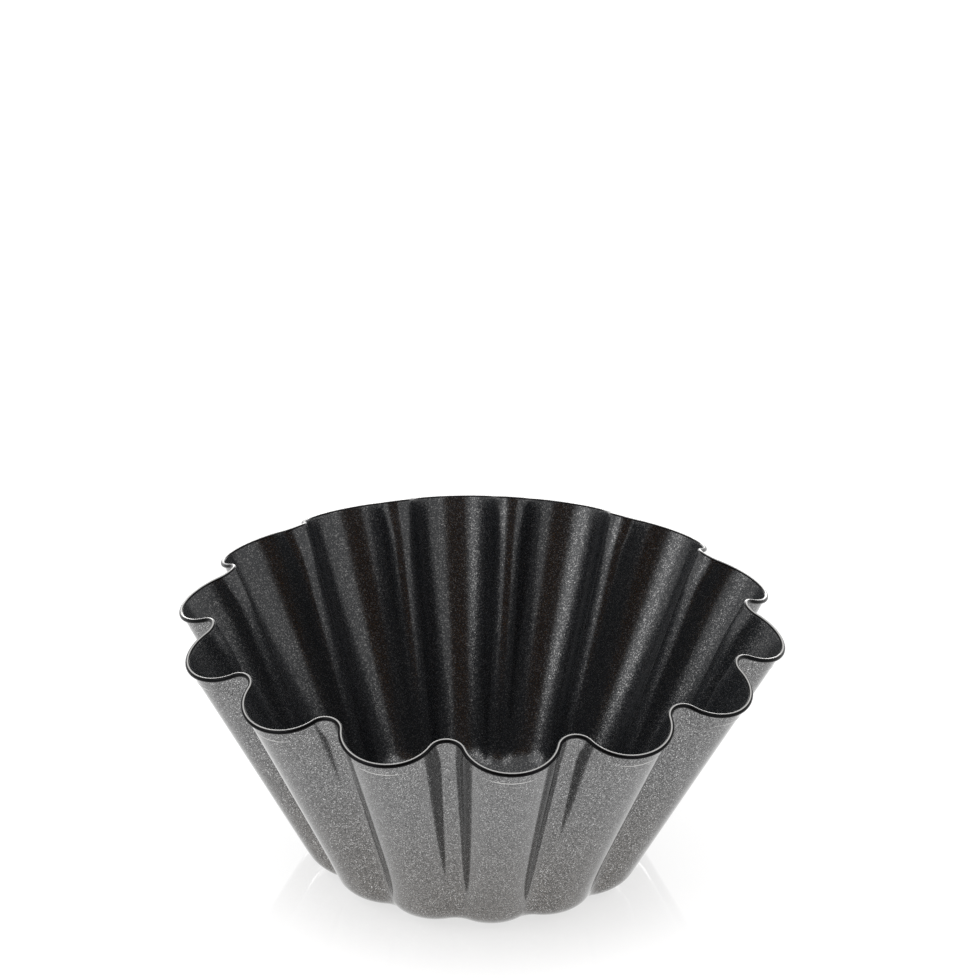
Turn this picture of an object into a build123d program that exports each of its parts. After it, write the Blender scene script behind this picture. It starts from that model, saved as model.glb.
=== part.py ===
from build123d import *
import math
import os

# A fluted brioche mould: one drawn sheet of steel with a rolled rim, coated inside and outside.
# It stands on the table at zero height, and the first flute's crest points along +X.

flute_count = 14

# The wall's coated outer face, where it meets the middle of the rim bead
rim_radius = 100.0
rim_flute_depth = 11.5
rim_height = 83.5
rim_rise_at_grooves = 5.5

# The same face, carried down to the table as if the bottom edge were sharp
base_radius = 54.9
base_flute_depth = 2.8
bottom_edge_radius = 16.0

# The grooves between the flutes keep one radius from the base to the rim
groove_radius = 5.9

# The sheet, its coating on both sides, and the bead rolled outwards along its edge
steel_thickness = 0.5
coating_thickness = 0.1
bead_diameter = 1.5
bead_rounding_share = 0.47

# How far the drawn wall and the trimming shapes run past the rim before they are trimmed
overrun = 8.0

# Heights of the wall's level sections, as shares of the height that it is drawn to
section_height_shares = (0.0, 0.15, 0.35, 0.6, 0.8, 1.0)

half_pitch = math.pi / flute_count
drawn_height = rim_height + rim_rise_at_grooves + overrun
steel_inner_depth = coating_thickness + steel_thickness
wall_thickness = steel_inner_depth + coating_thickness
crest_lean = math.atan2(rim_radius - base_radius, rim_height)
rim_slope = math.atan2(rim_rise_at_grooves, rim_flute_depth)
bead_radius = bead_diameter / 2
bead_rounding = bead_diameter * bead_rounding_share


def polar(radius, angle):
    """A level point at a distance and an angle from the middle of the mould."""
    return Vector(radius * math.cos(angle), radius * math.sin(angle))


def crest_radius_at(height):
    """Distance of the outer face from the middle, along a flute's crest."""
    return base_radius + (rim_radius - base_radius) * height / rim_height


def floor_radius_at(height):
    """Distance of the outer face from the middle, along the floor of a groove."""
    at_base = base_radius - base_flute_depth
    at_rim = rim_radius - rim_flute_depth
    return at_base + (at_rim - at_base) * height / (rim_height + rim_rise_at_grooves)


def fluted_outline(height, inset):
    """One level section: an arc over each flute, tangent to an arc in each groove.

    The inset is measured square to the wall at a crest, and moves the section inwards.
    """
    shift = inset / math.cos(crest_lean)
    crest = crest_radius_at(height) - shift
    groove_arc = groove_radius + shift
    groove_centre = floor_radius_at(height) + groove_radius
    reach = groove_centre * math.cos(half_pitch)
    spread = crest**2 + groove_centre**2 - 2 * crest * reach - groove_arc**2
    flute_arc = spread / (2 * (groove_arc + crest - reach))
    flute_centre = crest - flute_arc
    swing = math.atan2(groove_centre * math.sin(half_pitch), reach - flute_centre)
    leave = Vector(flute_centre, 0) + polar(flute_arc, swing)
    arrive = Vector(leave.X, -leave.Y)
    edges = []
    for flute in range(flute_count):
        angle = 2 * half_pitch * flute
        start = arrive.rotate(Axis.Z, math.degrees(angle))
        end = leave.rotate(Axis.Z, math.degrees(angle))
        following = arrive.rotate(Axis.Z, math.degrees(angle + 2 * half_pitch))
        groove_floor = polar(groove_centre - groove_arc, angle + half_pitch)
        edges.append(Edge.make_three_point_arc(start, polar(crest, angle), end))
        edges.append(Edge.make_three_point_arc(end, groove_floor, following))
    return Wire(edges).moved(Pos(0, 0, height))


def fluted_solid(inset, lift):
    """The drawn shape filled solid, moved inwards by the inset and up by the lift."""
    heights = [lift + share * (drawn_height - lift) for share in section_height_shares]
    return Solid.make_loft([fluted_outline(height, inset) for height in heights])


def fluted_cup(depth):
    """The filled mould at a depth below its outer face, with its bottom edge rounded."""
    cup = fluted_solid(depth, depth)
    bottom_edges = cup.edges().group_by(Axis.Z)[0]
    return cup.fillet(bottom_edge_radius - depth, bottom_edges)


def below_rim(lift):
    """Everything under the cone that the rim lies on, with the cone lifted square to itself.

    The cone falls outwards, which is why the rim is lower on the flutes than in the grooves.
    """
    reach = rim_radius + overrun
    level = rim_height + lift / math.cos(rim_slope)
    middle = level + rim_radius * math.tan(rim_slope)
    side = level - overrun * math.tan(rim_slope)
    section = Face(Wire.make_polygon([(0, 0, 0), (reach, 0, 0), (reach, 0, side), (0, 0, middle)]))
    return revolve(section, Axis.Z).solid()


def steel_shell():
    """The drawn steel sheet: base, fluted wall and the bead rolled outwards along its edge.

    The bead's inner side is flush with the sheet's inner face. Three of its corners are
    rounded, which leaves a nearly round bead.
    """
    bead = fluted_solid(steel_inner_depth - bead_diameter, 0) - below_rim(-bead_radius)
    filled = (fluted_cup(coating_thickness) + bead) & below_rim(bead_radius)
    shell = (filled - fluted_cup(steel_inner_depth)).solid()
    under_side, crown = shell.faces().filter_by(GeomType.CONE).sort_by(Axis.Z)
    outlines = Wire.combine(under_side.edges().filter_by(GeomType.BSPLINE))
    outer_edges = outlines.sort_by(SortBy.LENGTH)[-1].edges()
    return shell.fillet(bead_rounding, crown.edges() + outer_edges)


def inside_nonstick_coating():
    """The non-stick coating on the sheet's inner face, up to where the bead turns over."""
    layer = fluted_cup(steel_inner_depth) - fluted_cup(wall_thickness)
    return (layer & below_rim(bead_radius - bead_rounding)).solid()


def outside_coating():
    """The coating on the sheet's outer face and underside, up to the bead."""
    layer = fluted_cup(0) - fluted_cup(coating_thickness)
    return (layer & below_rim(-bead_radius)).solid()


os.makedirs("parts", exist_ok=True)
for make_piece in (steel_shell, inside_nonstick_coating, outside_coating):
    export_step(make_piece(), f"parts/{make_piece.__name__}.step")
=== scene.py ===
"""Looks of a fluted brioche mould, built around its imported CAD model.

The mould is one sheet of steel with a coating on each face. Each of these three layers is drawn as
half a flute, trimmed to the rim, mirrored, turned round the axis and given its thickness. The steel
and the inside coating are rolled round the bead as well.
"""

import logging
import math
from dataclasses import dataclass, field
from enum import Enum
from typing import Any

import bmesh
import bpy
from bmesh.types import BMEdge, BMesh, BMVert
from bpy.types import Material, Node, NodeSocket, NodeTree, Object
from mathutils import Matrix, Vector


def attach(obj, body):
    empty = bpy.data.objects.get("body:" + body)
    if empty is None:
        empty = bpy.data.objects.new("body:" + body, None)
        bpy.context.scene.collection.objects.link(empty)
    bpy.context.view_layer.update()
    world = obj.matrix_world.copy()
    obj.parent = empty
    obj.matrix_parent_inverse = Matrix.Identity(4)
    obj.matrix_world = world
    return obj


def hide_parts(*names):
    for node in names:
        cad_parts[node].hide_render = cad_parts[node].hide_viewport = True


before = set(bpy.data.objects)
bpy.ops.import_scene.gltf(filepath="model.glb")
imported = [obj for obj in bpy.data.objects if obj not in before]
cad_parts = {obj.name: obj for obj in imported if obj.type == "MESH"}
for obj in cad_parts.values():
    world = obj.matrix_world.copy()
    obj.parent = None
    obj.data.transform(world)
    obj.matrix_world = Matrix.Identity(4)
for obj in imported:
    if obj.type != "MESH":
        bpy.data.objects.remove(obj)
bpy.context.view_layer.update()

LOG = logging.getLogger("brioche_mould")
BODY = "root"
MM = 0.001
MERGE_DISTANCE = 0.002 * MM
SHARP_ANGLE = math.radians(50)
UP = Vector((0, 0, 1))
WHITE = "ffffff"

# Vertex layers, from 0 to 1: a painted highlight along the bead's crown and the press mark, and
# where the sheet is rolled into the bead, which the inside coating paints darker as shade
HIGHLIGHT_ATTRIBUTE = "painted_highlight_share"
ROLLED = "rolled_edge"

# Sockets by which the Mix node takes and gives colours
MIX_SHARE, MIX_FIRST, MIX_SECOND, MIX_RESULT = 0, 6, 7, 2


class Face(Enum):
    """The side of the drawn sheet that a piece shows."""

    INSIDE = "inside"
    OUTSIDE = "outside"


class Slot(Enum):
    """Material slots of the record."""

    STEEL = "drawn_steel"
    NONSTICK = "nonstick_coating"
    METALLIC = "metallic_coating"


def linear(code: str) -> tuple[float, float, float, float]:
    """Turns an sRGB colour into the linear values that shaders take.

    Args:
        code: Six hex digits.

    Returns:
        Red, green, blue and an alpha of one.
    """
    channels = [int(code[at : at + 2], 16) / 255 for at in (0, 2, 4)]
    red, green, blue = (
        value / 12.92 if value <= 0.04045 else ((value + 0.055) / 1.055) ** 2.4
        for value in channels
    )
    return (red, green, blue, 1.0)


def smooth_step(value: float, low: float, high: float) -> float:
    """Rises smoothly from zero at the low value to one at the high value."""
    share = min(1.0, max(0.0, (value - low) / (high - low)))
    return share * share * (3 - 2 * share)


def add_node(
    tree: NodeTree, kind: str, inputs: dict[Any, Any] | None = None, **settings: Any
) -> Node:
    """Adds a node with its settings, its values and its links.

    Args:
        tree: Node tree that gets the node.
        kind: Blender's name of the node type.
        inputs: A value or another node's output for each named or numbered input.
        settings: Properties of the node itself.

    Returns:
        The new node.
    """
    node = tree.nodes.new(kind)
    for name, value in settings.items():
        setattr(node, name, value)
    for port, value in (inputs or {}).items():
        if isinstance(value, NodeSocket):
            tree.links.new(value, node.inputs[port])
        else:
            node.inputs[port].default_value = value
    return node


def new_material(name: str) -> tuple[Material, NodeTree]:
    """Makes an empty node material.

    Args:
        name: Name of the real finish.

    Returns:
        The material and its empty node tree.
    """
    material = bpy.data.materials.new(name)
    material.use_nodes = True
    material.node_tree.nodes.clear()
    return material, material.node_tree


def finish_piece(bm: BMesh, name: str, material: Material) -> Object:
    """Turns a finished bmesh into a smooth-shaded object at the origin.

    Args:
        bm: The shape, which is freed.
        name: Name of the piece.
        material: Its finish.

    Returns:
        The object, linked to the scene.
    """
    for face in bm.faces:
        face.smooth = True
    mesh = bpy.data.meshes.new(name)
    bm.to_mesh(mesh)
    bm.free()
    mesh.set_sharp_from_angle(angle=SHARP_ANGLE)
    mesh.materials.append(material)
    piece = bpy.data.objects.new(name, mesh)
    bpy.context.scene.collection.objects.link(piece)
    return piece


@dataclass(frozen=True)
class FluteSizes:
    """Sizes of the drawn flutes, in metres, at the coated outer face.

    Between the base and the rim the grooves are pinched: they are deeper and tighter than straight
    ones. The pinch grows and fades over the given shares of a groove's height.
    """

    count: int = 14
    rim_radius: float = 100.0 * MM
    rim_flute_depth: float = 11.5 * MM
    rim_height: float = 83.5 * MM
    rim_rise_at_grooves: float = 5.5 * MM
    base_radius: float = 54.9 * MM
    base_flute_depth: float = 2.8 * MM
    bottom_edge_radius: float = 16.0 * MM
    groove_radius: float = 5.9 * MM
    groove_pinch: float = 1.3 * MM
    groove_tightening: float = 1.6 * MM
    pinch_grows: tuple[float, float] = (0.0, 0.34)
    pinch_fades: tuple[float, float] = (0.86, 1.02)
    overrun: float = 6.0 * MM

    @property
    def half_pitch(self) -> float:
        """Angle from a crest to the next groove."""
        return math.pi / self.count

    @property
    def crest_lean(self) -> float:
        """Angle between the wall and the axis along a crest."""
        return math.atan2(self.rim_radius - self.base_radius, self.rim_height)

    @property
    def groove_height(self) -> float:
        """Height of the rim over a groove."""
        return self.rim_height + self.rim_rise_at_grooves

    @property
    def drawn_height(self) -> float:
        """Height that the cup is drawn to before it is trimmed."""
        return self.groove_height + self.overrun

    def crest_radius(self, height: float) -> float:
        """Radius of the outer face along a crest."""
        return self.base_radius + (self.rim_radius - self.base_radius) * height / self.rim_height

    def pinch(self, height: float) -> float:
        """Share of the pinch that a groove has at a height."""
        share = height / self.groove_height
        return smooth_step(share, *self.pinch_grows) * (1 - smooth_step(share, *self.pinch_fades))

    def floor_radius(self, height: float) -> float:
        """Radius of the outer face along the floor of a groove.

        Args:
            height: Level above the table.

        Returns:
            The radius, less the pinch.
        """
        at_base = self.base_radius - self.base_flute_depth
        at_rim = self.rim_radius - self.rim_flute_depth
        straight = at_base + (at_rim - at_base) * height / self.groove_height
        return straight - self.groove_pinch * self.pinch(height)

    def groove_arc(self, height: float) -> float:
        """Radius of the arc in a groove."""
        return self.groove_radius - self.groove_tightening * self.pinch(height)

    def rim_level(self, radius: float) -> float:
        """Height of the rim's cone, which is lower over the flutes than over the grooves."""
        slope = self.rim_rise_at_grooves / self.rim_flute_depth
        return self.rim_height + (self.rim_radius - radius) * slope


@dataclass
class DrawnCup:
    """The fluted cup as it is drawn, trimmed to its wavy rim and turned round the axis.

    The wall's rows are spread evenly up to its collar, whose rows lie at fixed drops below the rim
    along the wall, close together where the press mark is. The mark's profile gives the share of
    its height at some of these drops.
    """

    sizes: FluteSizes
    depth: float
    marked: bool
    flute_steps: int = 12
    groove_steps: int = 8
    rounding_rows: int = 10
    wall_rows: int = 30
    collar_drops: tuple[float, ...] = tuple(
        drop * MM
        for drop in (
            9.0, 7.6, 6.6, 5.9, 5.6, 5.48, 5.36, 5.24, 5.12, 5.0, 4.7, 4.0, 3.0, 2.0, 1.0, 0.06
        )
    )
    floor_shares: tuple[float, ...] = (0.86, 0.68, 0.48, 0.26, 0.0)
    mark_height: float = 0.12 * MM
    mark_reach: float = 10.0 * MM
    mark_profile: tuple[tuple[float, float], ...] = tuple(
        (drop * MM, share) for drop, share in ((5.48, 0.5), (5.36, 1.0), (5.24, 0.9), (5.12, 0.3))
    )

    def arc(
        self, bm: BMesh, start: BMVert, centre: Vector, angle: float, steps: int
    ) -> list[BMVert]:
        """Draws an arc by spinning a vertex.

        Args:
            bm: Mesh that gets the arc.
            start: Vertex that is spun.
            centre: Middle of the arc.
            angle: Turn about the vertical, in radians.
            steps: Number of edges.

        Returns:
            The arc's new vertices, in order.
        """
        known = set(bm.verts)
        bmesh.ops.spin(bm, geom=[start], cent=centre, axis=UP, angle=angle, steps=steps)
        added = [vert for vert in bm.verts if vert not in known]
        return sorted(added, key=lambda vert: math.atan2(vert.co.y, vert.co.x))

    def draw_row(self, bm: BMesh, height: float, shift: float) -> list[BMVert]:
        """Draws half a flute at one level: an arc from its crest, and a tangent arc in the groove.

        Args:
            bm: Mesh that gets the row.
            height: Level of the row.
            shift: How far the row lies inside the outer face.

        Returns:
            The row's vertices from the crest to the groove.
        """
        sizes = self.sizes
        crest = sizes.crest_radius(height) - shift
        groove_arc = sizes.groove_arc(height) + shift
        groove_centre = sizes.floor_radius(height) + sizes.groove_arc(height)
        reach = groove_centre * math.cos(sizes.half_pitch)
        aside = groove_centre * math.sin(sizes.half_pitch)
        spread = crest**2 + groove_centre**2 - 2 * crest * reach - groove_arc**2
        flute_centre = crest - spread / (2 * (groove_arc + crest - reach))
        swing = math.atan2(aside, reach - flute_centre)
        row = [bm.verts.new((crest, 0, height))]
        middle = Vector((flute_centre, 0, height))
        row += self.arc(bm, row[-1], middle, swing, self.flute_steps)
        middle = Vector((reach, aside, height))
        row += self.arc(bm, row[-1], middle, sizes.half_pitch - swing, self.groove_steps)
        return row

    def rounding(self) -> list[tuple[float, float]]:
        """Places the rows that round the bottom edge.

        Returns:
            Height and shift of each row, from the floor upwards.
        """
        radius = self.sizes.bottom_edge_radius - self.depth
        lean = self.sizes.crest_lean
        middle = self.depth + radius
        centre = self.sizes.crest_radius(middle) - (self.depth + radius) / math.cos(lean)
        rows = []
        for step in range(self.rounding_rows + 1):
            turn = (math.pi / 2 - lean) * step / self.rounding_rows
            height = middle - radius * math.cos(turn)
            shift = self.sizes.crest_radius(height) - centre - radius * math.sin(turn)
            rows.append((height, shift))
        return rows

    def above_rim(self, point: Vector) -> float:
        """Height of a point above the rim's cone."""
        return point.z - self.sizes.rim_level(point.xy.length)

    def trim(self, rows: list[list[BMVert]], first: int) -> None:
        """Slides each column of vertices along its own line until its last one lies on the rim.

        Args:
            rows: All rows, from the floor upwards.
            first: Number of the row where the straight wall starts.
        """
        for column in zip(*rows):
            line = [vert.co.copy() for vert in column[first:]]
            parts = list(zip(line, line[1:]))
            lower, upper = next(part for part in parts if self.above_rim(part[1]) > 0)
            below, above = self.above_rim(lower), self.above_rim(upper)
            top = lower.lerp(upper, below / (below - above))
            slant = (upper - lower).normalized().z
            collar = [top.z - drop * slant for drop in self.collar_drops]
            base = line[0].z
            rise = collar[0] - base
            wall = [base + rise * step / self.wall_rows for step in range(self.wall_rows)]
            for vert, level in zip(column[first:], wall + collar):
                lower, upper = next(part for part in parts if part[1].z >= level)
                vert.co = lower.lerp(upper, (level - lower.z) / (upper.z - lower.z))

    def press_mark(self, bm: BMesh, rows: list[list[BMVert]]) -> None:
        """Raises the short fine ridge that the die leaves below the rim, across a flute's middle.

        Args:
            bm: Mesh of the rows, with its layer for the painted highlight along the ridge.
            rows: All rows, from the floor upwards.
        """
        highlight_layer = bm.verts.layers.float[HIGHLIGHT_ATTRIBUTE]
        for drop, share in self.mark_profile:
            row = rows[self.collar_drops.index(drop) - len(self.collar_drops)]
            for vert in row:
                fade = 1 - (abs(vert.co.y) / self.mark_reach) ** 2
                if fade > 0:
                    outward = Vector((vert.co.x, vert.co.y, 0)).normalized()
                    outward.z = -math.tan(self.sizes.crest_lean)
                    vert.co += outward.normalized() * self.mark_height * share * fade
                    # A highlight is painted along the ridge, as brighter metal
                    vert[highlight_layer] = share * fade

    def bridge(self, bm: BMesh, rows: list[list[BMVert]]) -> None:
        """Joins each row to the next one with a strip of faces.

        Args:
            bm: Mesh of the rows.
            rows: All rows, from the floor upwards.
        """
        for lower, upper in zip(rows, rows[1:]):
            edges = [bm.edges.get(pair) for row in (lower, upper) for pair in zip(row, row[1:])]
            bmesh.ops.bridge_loops(bm, edges=edges)

    def close_floor(self, bm: BMesh, row: list[BMVert]) -> None:
        """Closes the floor from its outline to the middle.

        Args:
            bm: Mesh of the rows.
            row: The lowest row, which is the floor's outline.
        """
        outline = [vert.co.copy() for vert in row]
        for share in self.floor_shares:
            known = set(bm.verts)
            edges = [bm.edges.get(pair) for pair in zip(row, row[1:])]
            bmesh.ops.extrude_edge_only(bm, edges=edges)
            row = [vert for vert in bm.verts if vert not in known]
            row.sort(key=lambda vert: math.atan2(vert.co.y, vert.co.x))
            for vert, corner in zip(row, outline):
                vert.co = Vector((corner.x * share, corner.y * share, corner.z))
        bmesh.ops.pointmerge(bm, verts=row, merge_co=row[0].co.copy())

    def repeat(self, bm: BMesh) -> None:
        """Mirrors the half flute, and turns copies of the whole one round the axis.

        Args:
            bm: Mesh of half a flute, from its crest along +X.
        """
        bmesh.ops.mirror(
            bm,
            geom=bm.verts[:] + bm.edges[:] + bm.faces[:],
            matrix=Matrix.Identity(4),
            merge_dist=MERGE_DISTANCE,
            axis="Y",
        )
        bmesh.ops.remove_doubles(bm, verts=bm.verts, dist=MERGE_DISTANCE)
        copies = self.sizes.count - 1
        bmesh.ops.spin(
            bm,
            geom=bm.verts[:] + bm.edges[:] + bm.faces[:],
            cent=Vector(),
            axis=UP,
            angle=2 * self.sizes.half_pitch * copies,
            steps=copies,
            use_duplicate=True,
        )
        bmesh.ops.remove_doubles(bm, verts=bm.verts, dist=MERGE_DISTANCE)

    def build(self) -> BMesh:
        """Draws, trims and closes half a flute, and repeats it.

        Returns:
            An open cup whose faces point outwards.
        """
        bm = bmesh.new()
        for layer in (HIGHLIGHT_ATTRIBUTE, ROLLED):
            bm.verts.layers.float.new(layer)
        wall_shift = self.depth / math.cos(self.sizes.crest_lean)
        *rounded, (base, _) = self.rounding()
        rows = [self.draw_row(bm, height, shift) for height, shift in rounded]
        rise = self.sizes.drawn_height - base
        parts = self.wall_rows + len(self.collar_drops) - 1
        for step in range(parts + 1):
            rows.append(self.draw_row(bm, base + rise * step / parts, wall_shift))
        self.trim(rows, len(rounded))
        if self.marked:
            self.press_mark(bm, rows)
        self.bridge(bm, rows)
        self.close_floor(bm, rows[0])
        self.repeat(bm)
        bmesh.ops.recalc_face_normals(bm, faces=bm.faces)
        middle = min(bm.faces, key=lambda face: face.calc_center_median().length)
        if middle.normal.z > 0:
            bmesh.ops.reverse_faces(bm, faces=bm.faces)
        return bm


@dataclass
class RolledEdge:
    """The bead that is rolled outwards along the rim.

    Angles are measured round its section, from the outward side up over the crown. A highlight is
    painted along the crown, wholly within half the crown's reach and less and less beyond it.
    """

    width: float = 1.6 * MM
    height: float = 1.5 * MM
    turn: float = math.radians(277)
    steps: int = 24
    crown: float = math.radians(110)
    crown_reach: float = math.radians(20)

    def sections(
        self, rim: list[BMEdge], half_width: float
    ) -> dict[BMVert, tuple[Vector, Vector, Vector]]:
        """Finds where the bead's section lies at each vertex of the rim.

        Args:
            rim: The rim's edges.
            half_width: Half of the bead's width.

        Returns:
            The section's middle, its outward direction and its upward one.
        """
        around = {}
        for edge in rim:
            for vert, other in (edge.verts, reversed(edge.verts)):
                around.setdefault(vert, []).append(other)
        found = {}
        for vert, (one, two) in around.items():
            inner = next(edge for edge in vert.link_edges if not edge.is_boundary)
            along = (one.co - two.co).normalized()
            rise = (vert.co - inner.other_vert(vert).co).normalized()
            rise = (rise - along * rise.dot(along)).normalized()
            outward = along.cross(rise)
            if outward.dot(Vector((vert.co.x, vert.co.y, 0))) < 0:
                outward.negate()
            found[vert] = (vert.co + outward * half_width, outward, rise)
        return found

    def roll(self, bm: BMesh, inset: float) -> None:
        """Extrudes the rim's edge round the bead.

        Args:
            bm: Trimmed cup.
            inset: How much smaller the bead is than its outside, all round.
        """
        highlight_layer = bm.verts.layers.float[HIGHLIGHT_ATTRIBUTE]
        rolled = bm.verts.layers.float[ROLLED]
        half_width = self.width / 2 - inset
        half_height = self.height / 2 - inset
        rim = [edge for edge in bm.edges if edge.is_boundary]
        sections = self.sections(rim, half_width)
        current = {vert: vert for vert in sections}
        for step in range(1, self.steps + 1):
            angle = math.pi - self.turn * step / self.steps
            over, up = half_width * math.cos(angle), half_height * math.sin(angle)
            # Share of the painted highlight at this angle round the bead
            painted_highlight = min(1.0, max(0.0, 2 - 2 * abs(angle - self.crown) / self.crown_reach))
            known = set(bm.verts)
            bmesh.ops.extrude_edge_only(bm, edges=rim)
            for source, vert in current.items():
                ends = (edge.other_vert(vert) for edge in vert.link_edges)
                rolled_on = next(end for end in ends if end not in known)
                centre, outward, rise = sections[source]
                rolled_on.co = centre + outward * over + rise * up
                rolled_on[highlight_layer] = painted_highlight
                # Marks the whole bead for its painted shade
                rolled_on[rolled] = 1.0
                current[source] = rolled_on
            fresh = set(current.values())
            rim = [edge for edge in bm.edges if fresh.issuperset(edge.verts)]


@dataclass(frozen=True)
class FlakeCoat:
    """A baked coating: a pigmented binder with fine metal or mica flake in it.

    Each cell of a Voronoi pattern is a flake with its own tilt and brightness. Cells of a second
    pattern are the few flakes that lie askew and glint. Real flakes are a few hundredths of a
    millimetre across, and are drawn several times as coarse, so that they show in the picture.

    Attributes:
        name: Name of the real finish.
        binder: Colour of the binder.
        flake: Colour of a flake at its brightest.
        sparse: Power of a flake's chance to be bright, so that more is sparser.
        metallic: Metalness of the binder and of the flakes.
        roughness: Roughness, apart from the glints.
        tilt: How far a flake leans, as a share of the normal.
        painted_highlight: Colour of the painted highlight along the bead's crown and the press mark.
        flake_size: Width of a flake.
        glint: Colour of the flakes that lie askew.
        glint_share: How many flakes do.
        glint_size: Their width.
        glint_roughness: Their roughness.
        flake_edge: Share of flake above which a cell counts as metal.
        rolled: Colour of the whole bead, a painted shade that darkens it.
        edge_tint: Tint of the metal at grazing angles.
        coat: Weight of the clear top layer.
        coat_roughness: Its roughness.
        warm_low_tint: Tint of the coating at the table.
        warm_low_tint_top: Height where that tint ends.
        cloud_size: Width of the patches with more or less flake.
        cloud_strength: How much less flake the poorest patches have.
        cloud_detail: Octaves of these patches.
        cloud_range: Noise levels of the poorest and the richest patches.
    """

    name: str
    binder: str
    flake: str
    sparse: float
    metallic: tuple[float, float]
    roughness: float
    tilt: float
    painted_highlight: str
    flake_size: float
    glint: str
    glint_share: float
    glint_size: float
    glint_roughness: float
    flake_edge: float = 0.2
    # Painted shade: near-black metal over the whole bead of the inside coating
    rolled: str = "161617"
    edge_tint: str = WHITE
    coat: float = 0.0
    coat_roughness: float = 0.02
    warm_low_tint: str = WHITE
    warm_low_tint_top: float = 60.0 * MM
    cloud_size: float = 14.0 * MM
    cloud_strength: float = 0.12
    cloud_detail: float = 3.0
    cloud_range: tuple[float, float] = (0.3, 0.7)

    def flakes(self, tree: NodeTree, place: NodeSocket) -> tuple[NodeSocket, NodeSocket]:
        """Scatters the flakes that lie flat.

        Args:
            tree: The coating's node tree.
            place: Object coordinates.

        Returns:
            How much flake shows, and the flakes' normal.
        """
        scale = 1 / self.flake_size
        cells = add_node(tree, "ShaderNodeTexVoronoi", {"Vector": place, "Scale": scale})
        cell = cells.outputs["Color"]
        chance = add_node(tree, "ShaderNodeSeparateColor", {0: cell}).outputs["Blue"]
        shown = add_node(tree, "ShaderNodeMath", {0: chance, 1: self.sparse}, operation="POWER")
        cloud = add_node(
            tree,
            "ShaderNodeTexNoise",
            {"Vector": place, "Scale": 1 / self.cloud_size, "Detail": self.cloud_detail},
        )
        level = add_node(
            tree,
            "ShaderNodeMapRange",
            {
                "Value": cloud.outputs[0],
                "From Min": self.cloud_range[0],
                "From Max": self.cloud_range[1],
                "To Min": 1 - self.cloud_strength,
                "To Max": 1.0,
            },
        )
        share = add_node(
            tree, "ShaderNodeMath", {0: shown.outputs[0], 1: level.outputs[0]}, operation="MULTIPLY"
        )
        spread = add_node(
            tree,
            "ShaderNodeVectorMath",
            {0: cell, 1: (2 * self.tilt,) * 3, 2: (-self.tilt,) * 3},
            operation="MULTIPLY_ADD",
        )
        flat = add_node(tree, "ShaderNodeNewGeometry").outputs["Normal"]
        tilted = add_node(
            tree, "ShaderNodeVectorMath", {0: flat, 1: spread.outputs[0]}, operation="ADD"
        )
        normal = add_node(
            tree, "ShaderNodeVectorMath", {0: tilted.outputs[0]}, operation="NORMALIZE"
        )
        return share.outputs[0], normal.outputs[0]

    def colour(self, tree: NodeTree, place: NodeSocket, share: NodeSocket) -> NodeSocket:
        """Colours the binder and the flakes that lie flat, and tints them warmer towards the table.

        Args:
            tree: The coating's node tree.
            place: Object coordinates.
            share: How much flake shows.

        Returns:
            The colour.
        """
        plain = add_node(
            tree,
            "ShaderNodeMix",
            {MIX_SHARE: share, MIX_FIRST: linear(self.binder), MIX_SECOND: linear(self.flake)},
            data_type="RGBA",
        )
        height = add_node(tree, "ShaderNodeSeparateXYZ", {0: place}).outputs["Z"]
        warmth = add_node(
            tree,
            "ShaderNodeMapRange",
            {"Value": height, "From Min": self.warm_low_tint_top, "From Max": 0.0},
        )
        tone = add_node(
            tree,
            "ShaderNodeMix",
            {
                MIX_SHARE: warmth.outputs[0],
                MIX_FIRST: linear(WHITE),
                MIX_SECOND: linear(self.warm_low_tint),
            },
            data_type="RGBA",
        )
        tinted = add_node(
            tree,
            "ShaderNodeMix",
            {
                MIX_SHARE: 1.0,
                MIX_FIRST: plain.outputs[MIX_RESULT],
                MIX_SECOND: tone.outputs[MIX_RESULT],
            },
            data_type="RGBA",
            blend_type="MULTIPLY",
        )
        return tinted.outputs[MIX_RESULT]

    def glints(self, tree: NodeTree, place: NodeSocket) -> NodeSocket:
        """Picks the flakes that lie askew.

        Args:
            tree: The coating's node tree.
            place: Object coordinates.

        Returns:
            How strongly a flake glints, which is zero for most.
        """
        scale = 1 / self.glint_size
        cells = add_node(tree, "ShaderNodeTexVoronoi", {"Vector": place, "Scale": scale})
        luck = add_node(tree, "ShaderNodeSeparateColor", {0: cells.outputs["Color"]})
        askew = add_node(
            tree,
            "ShaderNodeMapRange",
            {"Value": luck.outputs["Red"], "From Min": 1 - self.glint_share, "From Max": 1.0},
        )
        return askew.outputs[0]

    def material(self) -> Material:
        """Builds the coating's material.

        Returns:
            Flakes in their binder, and over them the glints, a painted shade on the bead and a
            painted highlight along its crown and the press mark.
        """
        material, tree = new_material(self.name)
        place = add_node(tree, "ShaderNodeTexCoord").outputs["Object"]
        share, normal = self.flakes(tree, place)
        colour = self.colour(tree, place, share)
        low, high = self.metallic
        metal = add_node(
            tree,
            "ShaderNodeMapRange",
            {"Value": share, "From Max": self.flake_edge, "To Min": low, "To Max": high},
        ).outputs[0]
        askew = self.glints(tree, place)
        rolled, painted_highlight = (
            add_node(tree, "ShaderNodeAttribute", attribute_name=layer).outputs["Fac"]
            for layer in (ROLLED, HIGHLIGHT_ATTRIBUTE)
        )
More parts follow.
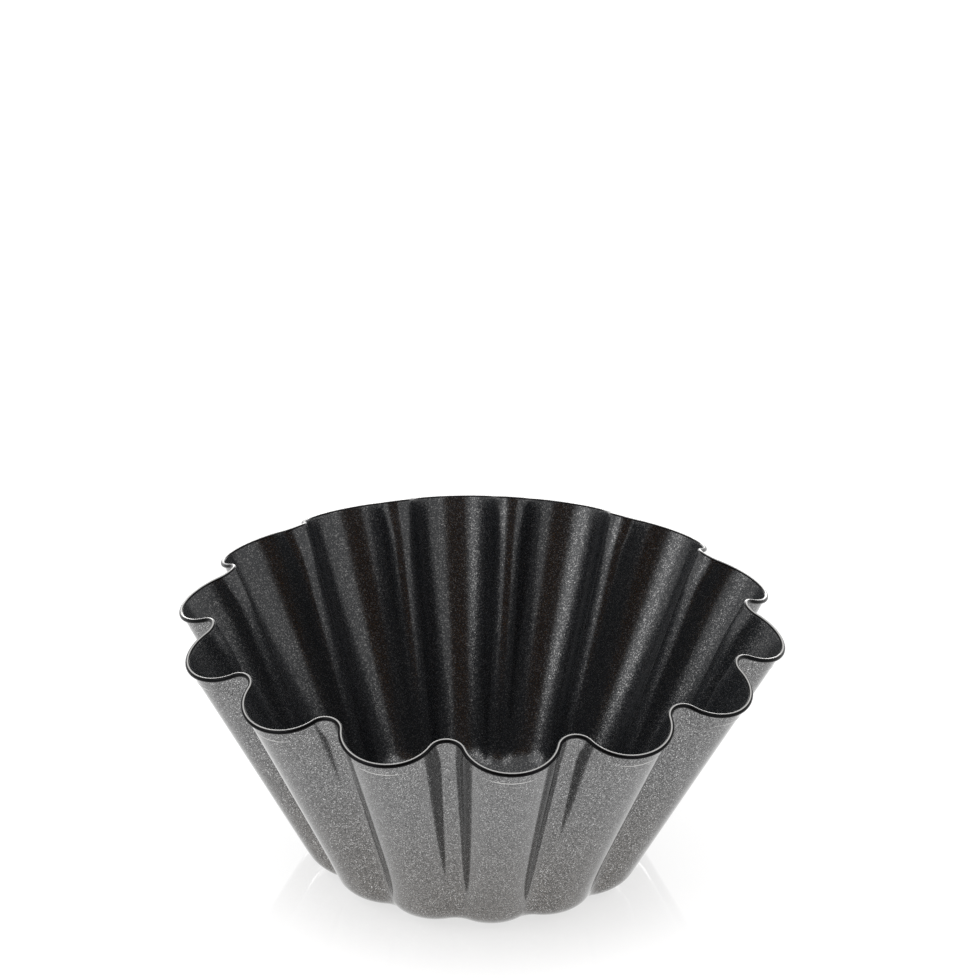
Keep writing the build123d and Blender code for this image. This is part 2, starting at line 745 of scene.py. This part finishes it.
        # Over the flakes lie the glints, the bead's painted shade and the painted highlight
        for cover, code in ((askew, self.glint), (rolled, self.rolled), (painted_highlight, self.painted_highlight)):
            colour = add_node(
                tree,
                "ShaderNodeMix",
                {MIX_SHARE: cover, MIX_FIRST: colour, MIX_SECOND: linear(code)},
                data_type="RGBA",
            ).outputs[MIX_RESULT]
            metal = add_node(
                tree, "ShaderNodeMath", {0: metal, 1: cover}, operation="MAXIMUM"
            ).outputs[0]
        roughness = add_node(
            tree,
            "ShaderNodeMapRange",
            {"Value": askew, "To Min": self.roughness, "To Max": self.glint_roughness},
        )
        shader = add_node(
            tree,
            "ShaderNodeBsdfPrincipled",
            {
                "Base Color": colour,
                "Roughness": roughness.outputs[0],
                "Metallic": metal,
                "Normal": normal,
                "Specular Tint": linear(self.edge_tint),
                "Coat Weight": self.coat,
                "Coat Roughness": self.coat_roughness,
            },
        )
        add_node(tree, "ShaderNodeOutputMaterial", {"Surface": shader.outputs[0]})
        return material


# Aluminium-flake bakeware coating, sprayed on and baked under a clear top layer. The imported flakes
# make it a mid grey that mirrors softly with a fine sparkle, and the clear layer lightens edges.
GREY_FLAKE_COATING = FlakeCoat(
    name="grey_metallic_flake_coating",
    binder="242425",
    flake="949494",
    sparse=1.6,
    metallic=(0.95, 1.0),
    roughness=0.18,
    tilt=0.02,
    # Painted highlight along the press mark
    painted_highlight="d6d5d3",
    flake_size=0.2 * MM,
    glint="dadada",
    glint_share=0.13,
    glint_size=0.22 * MM,
    glint_roughness=0.3,
    edge_tint="c0c0c0",
    coat=1.0,
    warm_low_tint="fff7ed",
)

# Non-stick fluoropolymer coating with a little mica, sprayed on and baked without a top layer. It
# is a satin near-black that shows grey only where it mirrors something light, speckled by the mica.
BLACK_NONSTICK_COATING = FlakeCoat(
    name="black_satin_nonstick",
    binder="1d2024",
    flake="888786",
    sparse=5.5,
    metallic=(0.0, 1.0),
    roughness=0.22,
    tilt=0.03,
    # Painted highlight along the bead's crown
    painted_highlight="c2c1bf",
    flake_size=0.25 * MM,
    glint="5c5c5e",
    glint_share=0.2,
    glint_size=0.28 * MM,
    glint_roughness=0.6,
)


@dataclass(frozen=True)
class DrawnSheetSteel:
    """Cold-rolled sheet steel, drawn in a press.

    It is grey and half bright, with the die's fine upright scores.
    """

    name: str = "drawn_sheet_steel"
    dark: str = "8b8a88"
    light: str = "a9a8a6"
    score_width: float = 0.4 * MM
    score_length: float = 12.0 * MM
    roughness: float = 0.32

    def material(self) -> Material:
        """Builds the steel's material.

        Returns:
            Bare metal whose noise is stretched upright into scores.
        """
        material, tree = new_material(self.name)
        place = add_node(tree, "ShaderNodeTexCoord").outputs["Object"]
        stretch = (1 / self.score_width, 1 / self.score_width, 1 / self.score_length)
        along = add_node(
            tree, "ShaderNodeVectorMath", {0: place, 1: stretch}, operation="MULTIPLY"
        )
        scores = add_node(tree, "ShaderNodeTexNoise", {"Vector": along.outputs[0], "Scale": 1.0})
        colour = add_node(
            tree,
            "ShaderNodeMix",
            {
                MIX_SHARE: scores.outputs[0],
                MIX_FIRST: linear(self.dark),
                MIX_SECOND: linear(self.light),
            },
            data_type="RGBA",
        )
        shader = add_node(
            tree,
            "ShaderNodeBsdfPrincipled",
            {
                "Base Color": colour.outputs[MIX_RESULT],
                "Roughness": self.roughness,
                "Metallic": 1.0,
            },
        )
        add_node(tree, "ShaderNodeOutputMaterial", {"Surface": shader.outputs[0]})
        return material


@dataclass
class BriocheMould:
    """The mould: the steel sheet, its dark inside lining and its grey outside coating."""

    sizes: FluteSizes = field(default_factory=FluteSizes)
    bead: RolledEdge = field(default_factory=RolledEdge)
    steel_thickness: float = 0.5 * MM
    coating_thickness: float = 0.1 * MM

    def sheet(self, depth: float, thickness: float, face: Face) -> BMesh:
        """Builds a layer of the sheet.

        Args:
            depth: How far its shown face lies below the mould's outer face.
            thickness: Thickness of the layer.
            face: Side of the layer that is shown.

        Returns:
            The layer as a closed shell.
        """
        bm = DrawnCup(self.sizes, depth, marked=face is Face.OUTSIDE).build()
        if face is Face.INSIDE:
            inner_depth = self.steel_thickness + 2 * self.coating_thickness
            self.bead.roll(bm, inner_depth - depth)
            bmesh.ops.reverse_faces(bm, faces=bm.faces)
        bmesh.ops.solidify(bm, geom=bm.faces[:], thickness=thickness)
        return bm

    def build(self) -> list[Object]:
        """Builds and dresses the three layers.

        Returns:
            The outside coating, the steel and the inside coating.
        """
        outside = GREY_FLAKE_COATING.material()
        inside = BLACK_NONSTICK_COATING.material()
        steel = DrawnSheetSteel().material()
        coat, core_thickness = self.coating_thickness, self.steel_thickness
        core_depth = coat + core_thickness
        shell = self.sheet(0.0, coat, Face.OUTSIDE)
        skin = finish_piece(shell, "grey_outside_coat", outside)
        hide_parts("outside_coating")
        shell = self.sheet(core_depth, core_thickness, Face.INSIDE)
        core = finish_piece(shell, "steel_sheet", steel)
        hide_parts("steel_shell")
        shell = self.sheet(core_depth + coat, coat, Face.INSIDE)
        lining = finish_piece(shell, "dark_nonstick_lining", inside)
        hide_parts("inside_nonstick_coating")
        for piece, slot in ((skin, Slot.METALLIC), (core, Slot.STEEL), (lining, Slot.NONSTICK)):
            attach(piece, BODY)
        return [skin, core, lining]


@dataclass(frozen=True)
class Panel:
    """A flat panel that faces the mould: a soft box, or a card.

    Attributes:
        name: Its name.
        azimuth: Degrees from the camera's side, to the right.
        elevation: Degrees above the floor.
        distance: From the mould, in metres.
        size: Width and height, in metres.
    """

    name: str
    azimuth: float
    elevation: float
    distance: float
    size: tuple[float, float]


@dataclass
class Studio:
    """A pale glossy floor, soft lamps and the photograph's camera.

    The camera's values are fitted to the photograph. A lamp's radiance is the brightness of its
    face, where 1 is white. The floor mirrors only near the mould, inside the range of its gloss.
    """

    distance: float = 1.7223
    azimuth: float = math.radians(-83.7213)
    elevation: float = math.radians(27.3014)
    aim: Vector = field(default_factory=lambda: Vector((0.002143, 0.000233, 0.134572)))
    roll: float = 0.018766
    lens: float = 191.146
    sensor_width: float = 36.0
    clip: tuple[float, float] = (0.05, 50.0)
    rim_level: float = 83.5 * MM
    floor_radius: float = 6.0
    floor_sides: int = 96
    floor_colour: str = "a0a0a0"
    floor_glow: float = 0.85
    floor_ior: float = 1.49
    floor_gloss: float = 2.5
    gloss_range: tuple[float, float] = (45.0 * MM, 103.0 * MM)
    floor_roughness: float = 0.03
    surround: float = 0.7
    lit_level: float = 50.0 * MM
    lamps: tuple[tuple[Panel, float], ...] = (
        (Panel("left_soft_box", -62, 38, 1.6, (0.9, 1.1)), 2.0),
        (Panel("right_soft_box", 52, 46, 1.6, (0.6, 0.6)), 2.0),
        (Panel("back_strip", 180, 8, 1.8, (2.4, 0.4)), 3.0),
    )
    card: Panel = Panel("dark_card", 0, 24, 2.6, (2.8, 2.4))
    card_colour: str = "8a6644"

    def place_camera(self) -> None:
        """Places the camera where the photograph was taken."""
        data = bpy.data.cameras.new("camera")
        data.sensor_width = self.sensor_width
        data.lens = self.lens
        data.clip_start, data.clip_end = self.clip
        camera = bpy.data.objects.new("camera", data)
        bpy.context.scene.collection.objects.link(camera)
        flat = math.cos(self.elevation) * self.distance
        camera.location = (
            flat * math.cos(self.azimuth),
            flat * math.sin(self.azimuth),
            self.rim_level + self.distance * math.sin(self.elevation),
        )
        turn = (self.aim - camera.location).to_track_quat("-Z", "Y").to_matrix().to_4x4()
        camera.rotation_euler = (turn @ Matrix.Rotation(self.roll, 4, "Z")).to_euler()
        bpy.context.scene.camera = camera

    def white_where_seen(self, tree: NodeTree) -> NodeSocket:
        """Adds the test for rays that see the white studio.

        Args:
            tree: Node tree of the floor or the surround.

        Returns:
            One for the camera's rays, reflected ones and refracted ones, and otherwise zero.
        """
        path = add_node(tree, "ShaderNodeLightPath").outputs
        seen = path["Is Camera Ray"]
        for ray in ("Is Glossy Ray", "Is Transmission Ray"):
            seen = add_node(
                tree, "ShaderNodeMath", {0: seen, 1: path[ray]}, operation="MAXIMUM"
            ).outputs[0]
        return seen

    def mirror_share(self, tree: NodeTree) -> NodeSocket:
        """Works out how much of the floor's light is mirrored.

        Args:
            tree: The floor's node tree.

        Returns:
            A share that fades away from the mould and grows at grazing angles.
        """
        place = add_node(tree, "ShaderNodeTexCoord").outputs["Object"]
        away = add_node(tree, "ShaderNodeVectorMath", {0: place}, operation="LENGTH")
        near, far = self.gloss_range
        polish = add_node(
            tree,
            "ShaderNodeMapRange",
            {
                "Value": away.outputs["Value"],
                "From Min": near,
                "From Max": far,
                "To Min": self.floor_gloss,
                "To Max": 0.0,
            },
            interpolation_type="SMOOTHSTEP",
        )
        slant = add_node(tree, "ShaderNodeFresnel", {"IOR": self.floor_ior})
        return add_node(
            tree,
            "ShaderNodeMath",
            {0: polish.outputs[0], 1: slant.outputs[0]},
            operation="MULTIPLY",
        ).outputs[0]

    def lay_floor(self) -> None:
        """Lays the glossy white floor, which is clear from below."""
        bm = bmesh.new()
        bmesh.ops.create_circle(
            bm, cap_ends=True, segments=self.floor_sides, radius=self.floor_radius
        )
        material, tree = new_material("white_acrylic_floor")
        seen = self.white_where_seen(tree)
        matt = add_node(tree, "ShaderNodeBsdfDiffuse", {"Color": linear(self.floor_colour)})
        level = add_node(
            tree, "ShaderNodeMath", {0: seen, 1: self.floor_glow}, operation="MULTIPLY"
        )
        glow = add_node(tree, "ShaderNodeEmission", {"Strength": level.outputs[0]})
        white = add_node(tree, "ShaderNodeAddShader", {0: matt.outputs[0], 1: glow.outputs[0]})
        gloss = add_node(tree, "ShaderNodeBsdfGlossy", {"Roughness": self.floor_roughness})
        top = add_node(
            tree,
            "ShaderNodeMixShader",
            {0: self.mirror_share(tree), 1: white.outputs[0], 2: gloss.outputs[0]},
        )
        below = add_node(tree, "ShaderNodeNewGeometry").outputs["Backfacing"]
        clear = add_node(tree, "ShaderNodeBsdfTransparent")
        surface = add_node(
            tree, "ShaderNodeMixShader", {0: below, 1: top.outputs[0], 2: clear.outputs[0]}
        )
        add_node(tree, "ShaderNodeOutputMaterial", {"Surface": surface.outputs[0]})
        floor = finish_piece(bm, "floor", material)

    def towards(self, panel: Panel) -> Vector:
        """Points from the mould to a panel.

        Args:
            panel: The panel.

        Returns:
            A direction of length one.
        """
        turn = self.azimuth + math.radians(panel.azimuth)
        rise = math.radians(panel.elevation)
        flat = math.cos(rise)
        return Vector((flat * math.cos(turn), flat * math.sin(turn), math.sin(rise)))

    def hang_lamp(self, panel: Panel, radiance: float) -> None:
        """Hangs a soft box that faces the mould.

        Args:
            panel: Its place and size.
            radiance: Brightness of its face, where 1 is white.
        """
        data = bpy.data.lights.new(panel.name, "AREA")
        data.shape = "RECTANGLE"
        width, height = panel.size
        data.size, data.size_y = width, height
        data.energy = radiance * math.pi * width * height
        lamp = bpy.data.objects.new(panel.name, data)
        bpy.context.scene.collection.objects.link(lamp)
        away = self.towards(panel)
        lamp.location = away * panel.distance + UP * self.lit_level
        lamp.rotation_euler = away.to_track_quat("Z", "Y").to_euler()

    def stand_card(self) -> None:
        """Stands a dark card by the camera, which keeps the mould's inside dark."""
        bm = bmesh.new()
        # A grid's size is half its side, so this one is a metre across before it is scaled
        bmesh.ops.create_grid(bm, x_segments=1, y_segments=1, size=0.5)
        away = self.towards(self.card)
        facing = away.to_track_quat("Z", "Y").to_matrix().to_4x4()
        bmesh.ops.scale(bm, vec=(*self.card.size, 1), verts=bm.verts)
        bmesh.ops.transform(bm, matrix=facing, verts=bm.verts)
        place = away * self.card.distance + UP * self.lit_level
        bmesh.ops.translate(bm, vec=place, verts=bm.verts)
        material, tree = new_material("dark_card")
        shader = add_node(tree, "ShaderNodeBsdfDiffuse", {"Color": linear(self.card_colour)})
        add_node(tree, "ShaderNodeOutputMaterial", {"Surface": shader.outputs[0]})
        card = finish_piece(bm, self.card.name, material)
        card.visible_camera = False

    def set_surround(self) -> None:
        """Sets the surround, which is white where it is seen and dimmer as a light."""
        world = bpy.data.worlds.new("studio")
        world.use_nodes = True
        tree = world.node_tree
        tree.nodes.clear()
        seen = self.white_where_seen(tree)
        level = add_node(
            tree, "ShaderNodeMapRange", {"Value": seen, "To Min": self.surround, "To Max": 1.0}
        )
        backdrop = add_node(
            tree,
            "ShaderNodeBackground",
            {"Color": linear(WHITE), "Strength": level.outputs[0]},
        )
        add_node(tree, "ShaderNodeOutputWorld", {"Surface": backdrop.outputs[0]})
        bpy.context.scene.world = world

    def build(self) -> None:
        """Sets up the whole studio."""
        self.place_camera()
        self.lay_floor()
        self.set_surround()
        for panel, radiance in self.lamps:
            self.hang_lamp(panel, radiance)
        self.stand_card()
        bpy.context.scene.view_settings.view_transform = "Standard"


def main() -> None:
    """Builds the mould and its studio, and logs each piece's face count."""
    logging.basicConfig(level=logging.INFO, format="%(name)s: %(message)s")
    Studio().build()
    for piece in BriocheMould().build():
        LOG.info("%s: %d faces", piece.name, len(piece.data.polygons))


if __name__ == "__main__":
    main()
